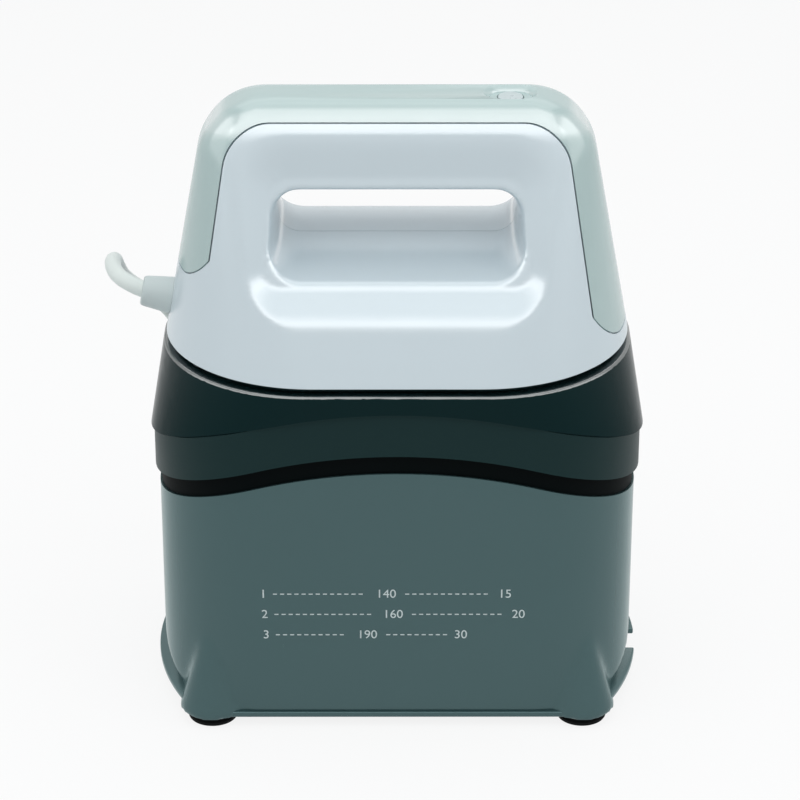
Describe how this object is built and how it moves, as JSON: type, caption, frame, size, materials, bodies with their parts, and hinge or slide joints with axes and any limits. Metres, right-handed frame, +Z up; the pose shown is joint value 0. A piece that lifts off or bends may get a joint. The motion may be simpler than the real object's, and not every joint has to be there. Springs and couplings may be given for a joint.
{
  "type": "mini hand-held heat press",
  "caption": "Small hand-held craft heat press with an arched handle, a curved hot plate and a push button, parked in its deep insulated base, with a mains lead and plug.",
  "frame": {"origin": "middle of the base's footprint, at the level that its feet stand on", "axes": "+Z up, towards the handle's top; -Y is the front, with the printed rows on the base; the lead leaves at -X and the button is at +X"},
  "size_m": [0.2002, 0.2194, 0.2308],
  "materials": {
    "shell": "light grey-blue, satin",
    "strap": "sage grey, satin",
    "collar": "dark slate, glossy",
    "skirt": "dark slate, fine grain",
    "base": "teal grey, satin",
    "liner": "black, heat-resistant",
    "feet": "black, moulded",
    "pads": "silicone",
    "plate": "coated, smooth",
    "element": "sheathed band",
    "mat": "mineral fibre felt",
    "shield": "zinc-coated sheet",
    "thermostat": "phenolic",
    "fuse": "small metal sleeve",
    "screw": "zinc-coated",
    "button": "satin",
    "switch": "black",
    "board": "glass fibre board with lacquer",
    "tilt": "small can",
    "clamp": "nylon",
    "cord": "white, soft sheath",
    "plug": "white, moulded",
    "blades": "bright"
  },
  "bodies": {
    "base": {"base_shell": "base", "base_feet": "feet", "base_floor": "base", "base_floor_screws": "screw", "base_liner": "liner", "rest_pads": "pads"},
    "press": {"heat_plate": "plate", "heating_element": "element", "insulation_mat": "mat", "heat_shield": "shield", "plate_screws": "screw", "thermostat": "thermostat", "thermal_fuse": "fuse", "skirt": "skirt", "collar": "collar", "front_shell": "shell", "rear_shell": "shell", "shell_screws": "screw", "deck_screws": "screw", "top_strap": "strap", "tact_switch": "switch", "control_board": "board", "power_board": "board", "tilt_switch": "tilt", "strain_relief": "cord", "cord_clamp": "clamp", "power_cord": "cord", "cord_coil": "cord", "cord_tail": "cord", "plug_body": "plug", "plug_blades": "blades"},
    "button": {"power_button": "button", "switch_plunger": "button"}
  },
  "joints": [
    {"name": "lift_off", "type": "slide", "parent": "base", "child": "press", "axis": [0, 0, 1], "range_m": [0, 0.12]},
    {"name": "button_press", "type": "slide", "parent": "press", "child": "button", "axis": [0, 0, -1], "range_m": [0, 0.001], "stiffness_N_per_m": 800, "springref_m": -0.001}
  ]
}
